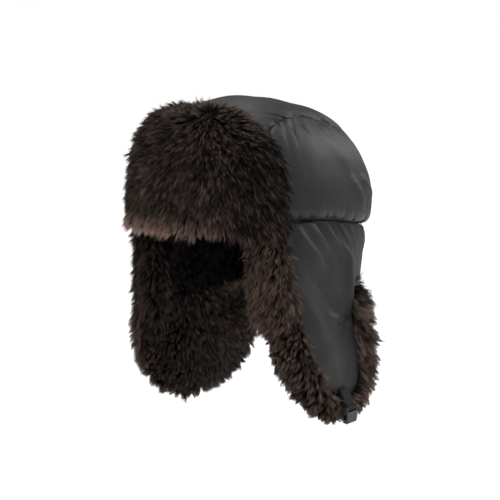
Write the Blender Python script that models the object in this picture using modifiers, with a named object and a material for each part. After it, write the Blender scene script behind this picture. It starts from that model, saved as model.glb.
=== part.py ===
"""A trapper hat: a padded nylon crown sewn from three panels, a fur-lined skirt that runs round the sides and neck, two ear
flaps that fold up from it, a turned-up fur visor, and a side-release chin buckle hung on two short tabs.

The wearer's left is +X, the back is +Y and up is +Z. The origin is the centre of the head opening, level with the middle
of the seam that joins the crown to the skirt. Every size is in metres.
"""

import math

import bmesh
import bpy

# Head and crown
HALF_WIDTH = 0.0935  # crown's outer face, side to side, at its widest
FRONT_LENGTH = 0.1110  # and from the middle to the brow
BACK_LENGTH = 0.1165  # and from the middle to the nape
CROWN_RISE = 0.0975  # from the widest level to the top
WIDEST_Z = 0.0120  # height of the widest level above the seam
ROLL_IN = 0.0300  # the crown tucks in below its widest level as an ellipse this tall would
SQUARENESS = 2.35  # power of the superellipse, where 2 is a plain ellipse
FOLD_SQUARENESS = 3.2  # over the cheeks, at the fold line
FLAP_SQUARENESS = (5.0, 3.4)  # an ear flap hangs nearly flat in front, and less so behind
FLATTEN_BY = 0.030  # height below the fold line in which it gets there
BACK_DROP = 0.12  # share by which the crown is lower at the back than in the middle
SEAM_SLOPE = 0.15  # the crown's seam runs down towards the nape
STRIP_HALF_WIDTH = 0.0590  # the centre panel, which runs front to back over the head
SEAM_GAP = 0.0010

# Layers, as depths below the outer face
NYLON = 0.0010
WADDING = (0.0014, 0.0068)
LINING = (0.0072, 0.0140)
FLAP_WADDING = (0.0014, 0.0056)
FLAP_FUR = (0.0062, 0.0215)
SKIRT_WADDING = (0.0014, 0.0056)
SKIRT_FUR = (0.0084, 0.0190)

# Skirt
SKIRT_TOP = -0.0010
SKIRT_INSET = 0.0040  # the skirt starts this far inside the crown's widest line
FOLD_Z = -0.0770  # ear flaps fold here, level with the neck's lower edge
NECK_TAPER = 0.0200  # the nape draws in by this much at the neck's lower edge
NECK_LOWER = 0.0040  # and its nylon ends this far below the fold line
NECK_FUR_DROP = 0.0140
FRONT_EDGE_TOP = -52.0  # angle of the skirt's front edge at the seam, in degrees from +X
FRONT_EDGE_FOLD = -33.0  # and at the fold line
FOLD_GAP = 0.0006
BAND_DROP = 0.0100  # the forehead band hangs this far below the crown's front edge
BAND_SHORT = 8.5  # and stops short of the skirt by this many degrees, beside its pile

# Ear flaps
FLAP_DROP = 0.0880  # nylon below the fold line
FLAP_HALF_LENGTH = 0.0400
FLAP_CENTRE_Y = -0.0160
FLAP_LEAN = 0.0300  # the tip lies this far behind the root's middle
FLAP_FLARE = 0.0060  # the tip stands out by this much
FLAP_TIP = 0.955  # the outline's curve stops here, which leaves a blunt tip
FUR_MARGIN = 0.0200  # the pile stands this far past the nylon's edge at the tip
FUR_MARGIN_FRONT = 0.0320
FUR_MARGIN_BACK = 0.0400
FUR_PROUD = 0.0070  # and this far outside its face
ROOT_PROUD = 0.15  # a share of that at the fold, so that a folded flap clears the skirt
TIP_PROUD = 0.25  # and at the tip, under the tab
MITRE = 0.30  # slope of the flap's upper end inwards from the fold, so that it can also swing in to the cheek

# Visor
VISOR_HALF_SPAN = 49.5  # degrees each side of straight ahead
VISOR_BOTTOM = -0.0050
VISOR_END_DROP = 0.0060  # its lower edge is this much lower at the ends
VISOR_TOP = 0.0990
VISOR_CLEAR = 0.0040  # between the crown and the visor's back panel
VISOR_RISE = 0.0195  # the visor stands more upright than the crown by this much of height
VISOR_FELT = 0.0030
VISOR_FUR = 0.0150
VISOR_HINGE_Z = -0.0060

# Chin buckle, for tape 13 mm wide
TAPE = 0.0130
TAPE_THICK = 0.0016
TAB_TOP_Z = -0.1590  # the tabs are sewn to the flaps here
BAR_Z = -0.1745
BAR_X = 0.1055
TAB_FORWARD = 0.0120  # the tab sits this far in front of the flap's tip
BAR_RADIUS = 0.0011
BUCKLE_WIDTH = 0.0165
BUCKLE_THICK = 0.0056
SOCKET_LENGTH = 0.0105
PLUG_LENGTH = 0.0110
PRONG_LENGTH = 0.0070
WALL = 0.0012

NYLON_GREY = (0.045, 0.046, 0.048)
FUR_BROWN = (0.040, 0.026, 0.022)
COLOURS = {
    "nylon": (NYLON_GREY, 0.45, 0.0),
    "wadding": ((0.62, 0.62, 0.60), 0.95, 0.0),
    "lining": ((0.020, 0.018, 0.018), 0.60, 0.0),
    "fur": (FUR_BROWN, 0.75, 0.0),
    "felt": ((0.10, 0.10, 0.10), 0.90, 0.0),
    "webbing": ((0.030, 0.030, 0.031), 0.70, 0.0),
    "acetal": ((0.012, 0.012, 0.013), 0.30, 0.0),
}


# ---------------------------------------------------------------- tools


def clear_scene():
    for thing in list(bpy.data.objects):
        bpy.data.objects.remove(thing)


def material(kind):
    found = bpy.data.materials.get(kind)
    if found:
        return found
    colour, roughness, metallic = COLOURS[kind]
    made = bpy.data.materials.new(kind)
    made.use_nodes = True
    shader = made.node_tree.nodes["Principled BSDF"]
    shader.inputs["Base Color"].default_value = (*colour, 1)
    shader.inputs["Roughness"].default_value = roughness
    shader.inputs["Metallic"].default_value = metallic
    return made


def add_object(name, mesh, kind, parent=None):
    made = bpy.data.objects.new(name, mesh)
    mesh.materials.append(material(kind))
    HAT.objects.link(made)
    made.parent = parent
    return made


def pivot(name, place):
    """An empty on a joint's axis, which carries the pieces that turn about it."""
    made = bpy.data.objects.new(name, None)
    made.location = place
    HAT.objects.link(made)
    return made


def bent_box(name, kind, place, across, along, parent=None):
    """A soft panel: a thin box of across x along cells, bent onto the hat by place(i, j, inner).

    i and j are whole numbers that count cells over the panel, and inner is 0 on its outer face and 1 on its inner one.
    """
    mesh = bpy.data.meshes.new(name)
    shape = bmesh.new()
    bmesh.ops.create_grid(shape, x_segments=across, y_segments=along, size=1)
    sheet = bmesh.ops.extrude_face_region(shape, geom=shape.faces[:], use_keep_orig=True)
    inner = {v for v in sheet["geom"] if isinstance(v, bmesh.types.BMVert)}
    origin = parent.location if parent else (0, 0, 0)
    for vertex in shape.verts:
        i = round((vertex.co.x + 1) / 2 * across)
        j = round((vertex.co.y + 1) / 2 * along)
        point = place(i, j, 1 if vertex in inner else 0)
        vertex.co = [p - o for p, o in zip(point, origin)]
    bmesh.ops.recalc_face_normals(shape, faces=shape.faces)
    if shape.calc_volume(signed=True) < 0:
        bmesh.ops.reverse_faces(shape, faces=shape.faces)
    shape.to_mesh(mesh)
    shape.free()
    mesh.shade_smooth()
    mesh.set_sharp_from_angle(angle=math.radians(50))
    return add_object(name, mesh, kind, parent)


def between(low, high, share):
    return low + (high - low) * share


def smooth_step(low, high, value):
    share = min(max((value - low) / (high - low), 0), 1)
    return share * share * (3 - 2 * share)


# ---------------------------------------------------------------- the hat's surfaces


def plan(angle, power=SQUARENESS):
    """Point of the unit superellipse seen at this angle, in degrees from +X towards +Y."""
    c = math.cos(math.radians(angle))
    s = math.sin(math.radians(angle))
    size = (abs(c) ** power + abs(s) ** power) ** (1 / power)
    return c / size, s / size


def half_length(y):
    return BACK_LENGTH if y > 0 else FRONT_LENGTH


def squareness(y, z):
    """The skirt gets flatter downwards over the cheeks, and an ear flap all over."""
    at_fold = SQUARENESS if y > 0 else between(SQUARENESS, FOLD_SQUARENESS, min(max(z / FOLD_Z, 0), 1))
    return between(at_fold, FLAP_SQUARENESS[y > 0], smooth_step(0, FLATTEN_BY, FOLD_Z - z))


def seam_height(y):
    """Height of the seam between crown and skirt, which is nearly level over the brow and runs down to the nape."""
    return -SEAM_SLOPE * y / (1 + max(-y, 0) / 0.05)


def settle(x, y, z):
    """Lowers the crown's back and lets its lower edge follow the seam."""
    top = WIDEST_Z + CROWN_RISE
    drop = 1 - BACK_DROP * y / BACK_LENGTH if z > 0 else 1
    return x, y, z * drop + seam_height(y) * (1 - z / top)


def crown_point(angle, climb, depth, rise=CROWN_RISE):
    """Point on the crown at this angle. climb is 0 at the seam, 90 at the top, in degrees of a superellipse."""
    start = -math.degrees(math.asin((WIDEST_Z / ROLL_IN) ** (SQUARENESS / 2)))
    lift = math.radians(between(start, 90, climb / 90))
    x, y = plan(angle)
    reach = math.cos(lift) ** (2 / SQUARENESS)
    height = rise - depth if lift > 0 else ROLL_IN
    z = WIDEST_Z + math.copysign(abs(math.sin(lift)) ** (2 / SQUARENESS) * height, lift)
    return settle(x * reach * (HALF_WIDTH - depth), y * reach * (half_length(y) - depth), z)


def strip_point(x, turn, depth):
    """Point of the centre strip. turn runs from 0 at the front seam to 1 at the back seam, over the top."""
    half_width = HALF_WIDTH - depth
    left = 1 - (abs(x) / half_width) ** SQUARENESS

    def on_arch(sweep):
        c, s = math.cos(sweep), math.sin(sweep)
        height = CROWN_RISE - depth if s > 0 else ROLL_IN
        length = half_length(-c) - depth
        across = (abs(c) / length) ** SQUARENESS + (abs(s) / height) ** SQUARENESS
        radius = (left / across) ** (1 / SQUARENESS)
        return -radius * c, radius * s

    below = 0.0
    while on_arch(below)[1] > -WIDEST_Z:
        below -= 0.002
    y, z = on_arch(between(below, math.pi - below, turn))
    return settle(x, y, z + WIDEST_Z)


def skirt_half_sizes(z, behind):
    """Half width and half length of the skirt's outer face at this height."""
    down = max(-z, 0) / -FOLD_Z
    draw = NECK_TAPER * min(down, 1.2) ** 1.4 if behind else 0
    flare = FLAP_FLARE * max(down - 1, 0)
    return HALF_WIDTH - SKIRT_INSET + flare, half_length(behind) - SKIRT_INSET - draw


def skirt_point(angle, z, depth):
    x, y = plan(angle, squareness(angle if angle < 90 else 180 - angle, z))
    half_width, length = skirt_half_sizes(z, y > 0)
    x, y = x * (half_width - depth), y * (length - depth)
    return x, y, z + seam_height(y) * max(1 - z / FOLD_Z, 0)


def flap_point(y, z, depth, side):
    """Point on an ear flap's face, which carries the skirt's side on downwards."""
    half_width, _ = skirt_half_sizes(z, False)
    _, length = skirt_half_sizes(FOLD_Z, y > 0)
    power = squareness(y, z)
    bow = (1 - (abs(y) / length) ** power) ** (1 / power)
    return side * (half_width * bow - depth), y, z


def visor_point(angle, share, depth):
    """Point on the visor's back face at depth 0, further out where depth is negative."""
    out = VISOR_CLEAR - depth
    rise = CROWN_RISE + VISOR_RISE + out
    end = min(abs(angle + 90) / VISOR_HALF_SPAN, 1)
    z = between(VISOR_BOTTOM - VISOR_END_DROP * end**2, VISOR_TOP, share)
    climb = max(z - WIDEST_Z, 0)
    reach = (1 - (climb / rise) ** SQUARENESS) ** (1 / SQUARENESS)
    x, y = plan(angle)
    return x * reach * (HALF_WIDTH + out), y * reach * (FRONT_LENGTH + out), WIDEST_Z + climb if climb else z


# ---------------------------------------------------------------- crown


def crown_side(name, kind, side, outer, inner, across=12, along=6):
    """A D-shaped side panel between the skirt seam and the centre strip."""
    edge = STRIP_HALF_WIDTH + SEAM_GAP / 2
    start = -math.asin((WIDEST_Z / ROLL_IN) ** (SQUARENESS / 2))
    at_seam = math.cos(start) ** (2 / SQUARENESS)

    def place(i, j, inner_face):
        depth = inner if inner_face else outer
        widest = 88.0
        while plan(widest)[0] * (HALF_WIDTH - depth) * at_seam < edge + 0.0010:
            widest -= 0.1
        angle = between(-widest, widest, i / across)
        x = plan(angle)[0] * (HALF_WIDTH - depth)
        lift_end = math.acos(min((edge / x) ** (SQUARENESS / 2), 1))
        climb = 90 * between(0, (lift_end - start) / (math.pi / 2 - start), j / along)
        px, py, pz = crown_point(angle, climb, depth)
        return side * px, py, pz

    return bent_box(name, kind, place, across, along)


def crown_strip(name, kind, outer, inner, across=6, along=18):
    def place(i, j, inner_face):
        depth = inner if inner_face else outer
        edge = STRIP_HALF_WIDTH - SEAM_GAP / 2
        return strip_point(between(-edge, edge, i / across), j / along, depth)

    return bent_box(name, kind, place, across, along)


def make_crown():
    layers = {
        "panel": ("nylon", 0, NYLON),
        "wadding": ("wadding", *WADDING),
        "lining": ("lining", *LINING),
    }
    for layer, (kind, outer, inner) in layers.items():
        crown_strip(f"crown_centre_{layer}", kind, outer, inner)
        crown_side(f"crown_left_{layer}", kind, 1, outer, inner)
        crown_side(f"crown_right_{layer}", kind, -1, outer, inner)


# ---------------------------------------------------------------- skirt


def skirt_layer(name, kind, outer, inner, past_edge, across=32, along=4):
    """One layer of the skirt, from the left front edge round the back to the right one."""

    def place(i, j, inner_face):
        depth = inner if inner_face else outer
        turn = i / across
        front = between(FRONT_EDGE_TOP, FRONT_EDGE_FOLD, (j / along) ** 0.8)
        front -= math.degrees(past_edge / FRONT_LENGTH)
        angle = between(front, 180 - front, turn)
        neck = smooth_step(52, 64, 90 - abs(90 - angle))
        bottom = FOLD_Z + FOLD_GAP - neck * (NECK_LOWER + past_edge)
        return skirt_point(angle, between(SKIRT_TOP, bottom, j / along), depth)

    return bent_box(name, kind, place, across, along)


def make_forehead_band():
    """A padded band that closes the crown's front edge between the two ends of the skirt."""

    def place(i, j, inner_face):
        depth = WADDING[1] + 0.006 if inner_face else SKIRT_INSET
        angle = between(-180 - FRONT_EDGE_TOP + BAND_SHORT, FRONT_EDGE_TOP - BAND_SHORT, i / 14)
        x, y = plan(angle)
        x, y = x * (HALF_WIDTH - depth), y * (FRONT_LENGTH - depth)
        return x, y, seam_height(y) + SKIRT_TOP - BAND_DROP * j

    bent_box("forehead_band", "nylon", place, 14, 1)


def make_skirt():
    skirt_layer("skirt_panel", "nylon", 0, NYLON, 0)
    skirt_layer("skirt_wadding", "wadding", *SKIRT_WADDING, 0)
    skirt_layer("skirt_fur_lining", "fur", *SKIRT_FUR, NECK_FUR_DROP)


# ---------------------------------------------------------------- ear flaps


def flap_outline(share_across, share_down, margin):
    """Point (y, z) inside the flap's outline, grown by margin. share_across is -1 to 1, share_down is 0 to 1."""
    down = share_down * FLAP_TIP
    side_margin = margin * (FUR_MARGIN_BACK if share_across > 0 else FUR_MARGIN_FRONT) / FUR_MARGIN
    half = (FLAP_HALF_LENGTH + side_margin) * (1 - down**3.2) ** 0.6
    y = FLAP_CENTRE_Y + FLAP_LEAN * down**1.3 + share_across * half
    return y, FOLD_Z - FOLD_GAP - share_down * (FLAP_DROP + margin)


def flap_hinge(side):
    """The fold line, along Y, just outside the skirt's nylon."""
    return side * (HALF_WIDTH - SKIRT_INSET + 0.0012), FLAP_CENTRE_Y, FOLD_Z


def mitred(point, share_down):
    """The same point, lower near the flap's upper end by its distance inside the fold line."""
    x, y, z = point
    inside = max(flap_hinge(1)[0] - abs(x), 0)
    return x, y, z - inside * MITRE * max(1 - share_down * 3, 0)


def flap_layer(name, kind, side, outer, inner, parent, across=8, along=8):
    def place(i, j, inner_face):
        y, z = flap_outline(between(-1, 1, i / across), j / along, 0)
        depth = inner if inner_face else outer
        return mitred(flap_point(y, z, depth, side), j / along)

    return bent_box(name, kind, place, across, along, parent)


def flap_fur(name, side, parent, across=14, along=10):
    """The fur lining, whose pile rolls over the nylon's edge: rings of cells round a recess that holds the layers."""
    margins = (FUR_MARGIN, FUR_MARGIN * 0.55, 0.0022, 0.0010)
    outer = (0.0055, -1.0, -0.6, FLAP_FUR[0])
    inner = (0.0140, 0.0195, FLAP_FUR[1], FLAP_FUR[1])
    rings = len(margins)

    def place(i, j, inner_face):
        ring = min(i, across - i, along - j, rings - 1)
        u = min(max((i - rings + 1) / (across - 2 * (rings - 1)), 0), 1)
        v = min(j / (along - rings + 1), 1)
        y, z = flap_outline(between(-1, 1, u), v, margins[ring])
        depth = (inner if inner_face else outer)[ring]
        if depth < 0:
            swell = between(ROOT_PROUD, 1, smooth_step(0, 0.35, v))
            depth *= FUR_PROUD * swell * between(1, TIP_PROUD, smooth_step(0.6, 0.95, v))
        return mitred(flap_point(y, z, depth, side), v)

    return bent_box(name, "fur", place, across, along, parent)


def make_ear_flap(side, hand):
    hinge = pivot(f"ear_flap_{hand}_fold", flap_hinge(side))
    flap_layer(f"ear_flap_{hand}_panel", "nylon", side, 0, NYLON, hinge)
    flap_layer(f"ear_flap_{hand}_wadding", "wadding", side, *FLAP_WADDING, hinge)
    flap_fur(f"ear_flap_{hand}_fur", side, hinge)


# ---------------------------------------------------------------- visor


def visor_outline(share_across, share_up, margin):
    """Angle and share of height of a point inside the visor's outline, grown by margin at its sides and top."""
    angle = -90 + share_across * (VISOR_HALF_SPAN + math.degrees(margin / FRONT_LENGTH))
    top = 0.36 + 0.64 * (1 - (0.985 * abs(share_across)) ** 3) ** 0.5
    grown = top + margin / (VISOR_TOP - VISOR_BOTTOM)
    return angle, share_up * grown


def visor_layer(name, kind, outer, inner, parent, across=16, along=6):
    def place(i, j, inner_face):
        angle, up = visor_outline(between(-1, 1, i / across), j / along, 0)
        return visor_point(angle, up, inner if inner_face else outer)

    return bent_box(name, kind, place, across, along, parent)


def visor_fur(name, parent, across=22, along=9):
    """The visor's pile: a thick pad that rolls over the edge of the felt and the back panel."""
    margins = (0.0085, 0.0065, 0.0022, 0.0010)
    back = (-0.0050, 0.0005, 0.0015, -(NYLON + VISOR_FELT + 0.0012))
    front = (-0.0080, -0.0125, -VISOR_FUR, -VISOR_FUR)
    rings = len(margins)

    def place(i, j, outer_face):
        ring = min(i, across - i, along - j, rings - 1)
        u = min(max((i - rings + 1) / (across - 2 * (rings - 1)), 0), 1)
        v = min(j / (along - rings + 1), 1)
        angle, up = visor_outline(between(-1, 1, u), v, margins[ring])
        return visor_point(angle, up, (front if outer_face else back)[ring])

    return bent_box(name, "fur", place, across, along, parent)


def make_visor():
    hinge = pivot("visor_fold", (0, -FRONT_LENGTH - VISOR_CLEAR, VISOR_HINGE_Z))
    felt = -NYLON - 0.0004
    visor_layer("visor_back_panel", "nylon", 0, -NYLON, hinge)
    visor_layer("visor_felt", "felt", felt, felt - VISOR_FELT, hinge)
    visor_fur("visor_fur", hinge)


# ---------------------------------------------------------------- chin buckle


def solid(name, build):
    """An object from a bmesh that build fills in."""
    mesh = bpy.data.meshes.new(name)
    shape = bmesh.new()
    build(shape)
    bmesh.ops.recalc_face_normals(shape, faces=shape.faces)
    shape.to_mesh(mesh)
    shape.free()
    return mesh


def block(name, kind, size, centre, parent, bevel=0.0):
    mesh = solid(name, lambda shape: bmesh.ops.create_cube(shape, size=1))
    for vertex in mesh.vertices:
        vertex.co = [v * s + c for v, s, c in zip(vertex.co, size, centre)]
    made = add_object(name, mesh, kind, parent)
    if bevel:
        edge = made.modifiers.new("bevel", "BEVEL")
        edge.width = bevel
        edge.segments = 2
        mesh.shade_smooth()
        mesh.set_sharp_from_angle(angle=math.radians(50))
    return made


def rod(name, kind, radius, length, centre, parent, sides=20):
    """A cylinder that lies along Y."""

    def build(shape):
        bmesh.ops.create_cone(shape, cap_ends=True, segments=sides, radius1=radius, radius2=radius, depth=length)

    mesh = solid(name, build)
    for vertex in mesh.vertices:
        x, y, z = vertex.co
        vertex.co = (x + centre[0], z + centre[1], y + centre[2])
    mesh.flip_normals()
    mesh.shade_smooth()
    mesh.set_sharp_from_angle(angle=math.radians(50))
    return add_object(name, mesh, kind, parent)


def combine(body, tool, operation):
    """Joins tool to body or cuts it out. Tools are kept in their own collection, hidden in renders."""
    step = body.modifiers.new(operation.lower(), "BOOLEAN")
    step.operation = operation
    step.solver = "EXACT"
    step.object = tool
    tool.hide_render = True
    tool.display_type = "WIRE"
    HAT.objects.unlink(tool)
    TOOLS.objects.link(tool)


def make_tab(hand, side, flap_hinge_at, bar_at):
    """Tape sewn to the flap's tip and looped round the buckle's bar. It is flat from the tip to the loop."""
    name = f"tab_{hand}"
    hinge = bpy.data.objects[f"ear_flap_{hand}_fold"]
    loop = BAR_RADIUS + 0.0003
    bar = [b - h for b, h in zip(bar_at, flap_hinge_at)]
    x, _, z = flap_point(bar_at[1], TAB_TOP_Z, -0.0004, side)
    root = (x - flap_hinge_at[0], bar[1], z - flap_hinge_at[2])
    tab = rod(name, "webbing", loop + TAPE_THICK, TAPE, bar, hinge, 24)
    run_x, run_z = bar[0] - root[0], bar[2] - root[2]
    length = math.hypot(run_x, run_z)
    out = (run_z / length * -side, run_x / length * side)
    thick = 2 * TAPE_THICK

    def build(shape):
        corners = []
        for lift in (0.0, thick):
            for share in (0.0, 1.0):
                for edge in (-0.5, 0.5):
                    shift = lift if share == 0 else lift - thick / 2
                    point = (
                        root[0] + run_x * share + out[0] * shift,
                        root[1] + edge * TAPE,
                        root[2] + run_z * share + out[1] * shift,
                    )
                    corners.append(shape.verts.new(point))
        bmesh.ops.convex_hull(shape, input=corners)

    leg = add_object(f"{name}_leg", solid(f"{name}_leg", build), "webbing", hinge)
    combine(tab, leg, "UNION")
    hole = rod(f"{name}_hole", "webbing", loop, TAPE * 2, bar, hinge, 24)
    combine(tab, hole, "DIFFERENCE")


def buckle_frame(name, length, hinge):
    """Rounded body that hangs from its bar, with a window above the body for the tape."""
    window = 0.0065
    body = block(
        name,
        "acetal",
        (BUCKLE_THICK, BUCKLE_WIDTH, length + window),
        (0, 0, -(length + window) / 2 + 0.0026),
        hinge,
        0.0010,
    )
    gap = block(
        f"{name}_window", "acetal", (BUCKLE_THICK * 2, TAPE + 0.0008, window), (0, 0, 0.0026 + 0.0005 - window / 2), hinge
    )
    combine(body, gap, "DIFFERENCE")
    bar = rod(f"{name}_bar", "acetal", BAR_RADIUS, BUCKLE_WIDTH - 0.002, (0, 0, 0), hinge)
    combine(body, bar, "UNION")
    return body, 0.0026 + 0.0005 - window


def make_socket(hinge):
    body, top = buckle_frame("buckle_socket", SOCKET_LENGTH, hinge)
    low = 0.0026 - SOCKET_LENGTH - 0.0065
    inside = (BUCKLE_THICK - 2 * WALL, BUCKLE_WIDTH - 2 * WALL, 2 * (SOCKET_LENGTH - 0.0035))
    hollow = block("socket_hollow", "acetal", inside, (0, 0, low), hinge)
    combine(body, hollow, "DIFFERENCE")
    side_window = (BUCKLE_THICK - 2 * WALL, BUCKLE_WIDTH * 2, 0.0050)
    combine(body, block("socket_side_window", "acetal", side_window, (0, 0, low + 0.0060), hinge), "DIFFERENCE")


def make_plug(hinge):
    body, _ = buckle_frame("buckle_plug", PLUG_LENGTH - 0.006, hinge)
    low = 0.0026 - (PLUG_LENGTH - 0.006) - 0.0065
    thick = BUCKLE_THICK - 2 * WALL - 0.0006
    for index, (y, width) in enumerate(((-0.0052, 0.0020), (0.0, 0.0026), (0.0052, 0.0020))):
        size = (thick, width, PRONG_LENGTH + 0.002)
        prong = block(f"plug_prong_{index}", "acetal", size, (0, y, low - PRONG_LENGTH / 2 + 0.001), hinge, 0.0005)
        combine(body, prong, "UNION")


def make_chin_buckle():
    for side, hand, make_half in ((1, "left", make_socket), (-1, "right", make_plug)):
        tip_y = FLAP_CENTRE_Y + FLAP_LEAN - TAB_FORWARD
        bar_at = (side * BAR_X, tip_y, BAR_Z)
        make_tab(hand, side, flap_hinge(side), bar_at)
        flap = bpy.data.objects[f"ear_flap_{hand}_fold"]
        hinge = pivot(f"buckle_{hand}_bar", [b - h for b, h in zip(bar_at, flap_hinge(side))])
        hinge.parent = flap
        make_half(hinge)


clear_scene()
TOOLS = bpy.data.collections.new("cutting_tools")
bpy.context.scene.collection.children.link(TOOLS)
HAT = bpy.data.collections.new("trapper_hat")
bpy.context.scene.collection.children.link(HAT)
make_crown()
make_forehead_band()
make_skirt()
make_ear_flap(1, "left")
make_ear_flap(-1, "right")
make_visor()
make_chin_buckle()
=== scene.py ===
"""The visual model of a trapper hat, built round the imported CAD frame. Every size is in metres.

The wearer's left is +X, the back is +Y and up is +Z. The nylon, lining and fur follow the same surfaces
as the CAD model: a superellipse for the crown and the skirt, and flaps and a visor that carry those on.
"""

import math

import bpy
import numpy as np
from mathutils import Matrix, Vector
from mathutils.kdtree import KDTree


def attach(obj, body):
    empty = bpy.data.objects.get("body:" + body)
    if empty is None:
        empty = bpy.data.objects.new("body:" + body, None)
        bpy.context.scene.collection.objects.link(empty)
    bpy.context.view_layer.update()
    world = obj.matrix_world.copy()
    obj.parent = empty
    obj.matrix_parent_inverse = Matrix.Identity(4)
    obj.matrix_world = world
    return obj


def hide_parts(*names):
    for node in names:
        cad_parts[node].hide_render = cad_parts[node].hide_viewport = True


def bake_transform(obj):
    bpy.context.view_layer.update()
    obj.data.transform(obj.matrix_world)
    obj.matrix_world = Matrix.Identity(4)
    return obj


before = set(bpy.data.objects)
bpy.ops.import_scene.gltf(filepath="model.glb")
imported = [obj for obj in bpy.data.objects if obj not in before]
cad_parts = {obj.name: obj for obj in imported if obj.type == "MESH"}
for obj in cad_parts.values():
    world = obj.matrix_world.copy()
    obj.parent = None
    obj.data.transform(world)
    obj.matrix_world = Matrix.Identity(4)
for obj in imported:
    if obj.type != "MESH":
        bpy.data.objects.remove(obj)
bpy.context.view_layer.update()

HANDS = ((1, "left"), (-1, "right"))  # the sign of x on each side

# The hat's surfaces, as in the CAD model
HALF_WIDTH = 0.0935
FRONT_LENGTH = 0.1110
BACK_LENGTH = 0.1165
CROWN_RISE = 0.0975
WIDEST_Z = 0.0120
ROLL_IN = 0.0300
SQUARENESS = 2.35
FOLD_SQUARENESS = 3.2
FLAP_SQUARENESS = (5.0, 3.4)
FLATTEN_BY = 0.030
BACK_DROP = 0.12
SEAM_SLOPE = 0.15
STRIP_HALF_WIDTH = 0.0590
SKIRT_TOP = -0.0010
SKIRT_INSET = 0.0040
FOLD_Z = -0.0770
NECK_TAPER = 0.0200
NECK_LOWER = 0.0040
FRONT_EDGE_TOP = -52.0
FRONT_EDGE_FOLD = -33.0
BAND_DROP = 0.0100
BAND_SHORT = 8.5
FLAP_DROP = 0.0880
FLAP_HALF_LENGTH = 0.0400
FLAP_CENTRE_Y = -0.0160
FLAP_LEAN = 0.0300
FLAP_FLARE = 0.0060
FLAP_TIP = 0.955
MITRE = 0.30
VISOR_HALF_SPAN = 49.5
VISOR_BOTTOM = -0.0050
VISOR_END_DROP = 0.0060
VISOR_TOP = 0.0990
VISOR_CLEAR = 0.0040
VISOR_RISE = 0.0195

# Camera: the side and height that the hat is seen from
VIEW_AZIMUTH = 37.0
VIEW_ELEVATION = 7.5
VIEW_DISTANCE = 1.300
VIEW_WIDTH = 0.480  # width of the picture at the hat
VIEW_RIGHT = -0.00768  # where the camera aims, from the hat's origin, to its right and up
VIEW_UP = -0.03456
SENSOR = 36.0
STUDIO_LIGHT = 0.13  # brightness of the room round the hat, where white is 1
FLOOR_GLOW = 0.95  # what the white floor needs on top of that to look as white as the room
LIGHT_AIM = (0.0, 0.0, -0.02)
FLOOR_Z = -0.34
FLOOR_HALF_SIZE = 14.0


# ---- small tools


def between(low, high, share):
    return low + (high - low) * share


def ease(low, high, value):
    """0 up to low and 1 from high on, with a smooth step between them."""
    share = np.clip((value - low) / (high - low), 0, 1)
    return share * share * (3 - 2 * share)


def unit(vectors):
    return vectors / np.maximum(np.linalg.norm(vectors, axis=-1, keepdims=True), 1e-12)


def noise(points, size, seed=0):
    """Smooth noise from about -1 to 1 at each point, with features of this size."""
    points = np.asarray(points, float)
    p = points.reshape(-1, 3) / size + seed * 31.7
    cell = np.floor(p).astype(np.int64)
    inside = p - cell
    fade = inside**3 * (inside * (inside * 6 - 15) + 10)
    total = np.zeros(len(p))
    for corner in np.ndindex(2, 2, 2):
        corner = np.array(corner)
        key = ((cell + corner) * (73856093, 19349663, 83492791)).sum(1)
        key = (key ^ (key >> 13)) * 1274126177
        key = key ^ (key >> 16)
        slope = np.stack([((key >> shift) & 255) / 127.5 - 1 for shift in (0, 8, 16)], 1)
        weight = np.prod(np.where(corner == 1, fade, 1 - fade), 1)
        total += weight * ((inside - corner) * slope).sum(1)
    return (total * 1.5).reshape(points.shape[:-1])


def stripes(along, away, size, seed):
    """Noise that varies along a seam and is drawn out across it, which is how cloth puckers."""
    return noise(np.stack([along, away * 0.22, np.full_like(along, seed * 0.37)], -1), size, seed)


def creases(along, away, size, seed):
    """Narrow valleys that run out from a seam, from 0 to -1, about this far apart."""
    return -((1 - np.minimum(np.abs(stripes(along, away, size, seed)) * 1.5, 1)) ** 4)


def clustered(low, high, count):
    """Numbers from low to high that lie closer together near both ends."""
    share = np.linspace(0, 1, count)
    return between(low, high, 0.15 * share + 0.85 * (0.5 - 0.5 * np.cos(math.pi * share)))


def add_object(name, data):
    made = bpy.data.objects.new(name, data)
    bpy.context.scene.collection.objects.link(made)
    return made


def link(name, mesh, material):
    mesh.materials.append(material)
    return add_object(name, mesh)


def set_values(mesh, name, values):
    """Store one number for each of the mesh's points."""
    attribute = mesh.attributes.new(name, "FLOAT", "POINT")
    attribute.data.foreach_set("value", values.astype(np.float32).ravel())


def mesh_from(name, points, faces):
    """A mesh from arrays of points and of faces that all have as many corners."""
    mesh = bpy.data.meshes.new(name)
    corners = faces.shape[1]
    mesh.vertices.add(len(points))
    mesh.vertices.foreach_set("co", np.ascontiguousarray(points, np.float32).ravel())
    mesh.loops.add(len(faces) * corners)
    mesh.loops.foreach_set("vertex_index", np.ascontiguousarray(faces, np.int32).ravel())
    mesh.polygons.add(len(faces))
    mesh.polygons.foreach_set("loop_start", np.arange(0, len(faces) * corners, corners, dtype=np.int32))
    mesh.update(calc_edges=True)
    mesh.shade_smooth()
    return mesh


# ---- the hat's surfaces, for arrays


def plan(angle, power=SQUARENESS):
    c = np.cos(np.radians(angle))
    s = np.sin(np.radians(angle))
    size = (np.abs(c) ** power + np.abs(s) ** power) ** (1 / power)
    return c / size, s / size


def half_length(y):
    return np.where(np.asarray(y) > 0, BACK_LENGTH, FRONT_LENGTH)


def squareness(y, z):
    cheek = between(SQUARENESS, FOLD_SQUARENESS, np.clip(z / FOLD_Z, 0, 1))
    at_fold = np.where(y > 0, SQUARENESS, cheek)
    flap = np.where(y > 0, FLAP_SQUARENESS[1], FLAP_SQUARENESS[0])
    return between(at_fold, flap, ease(0, FLATTEN_BY, FOLD_Z - z))


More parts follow.
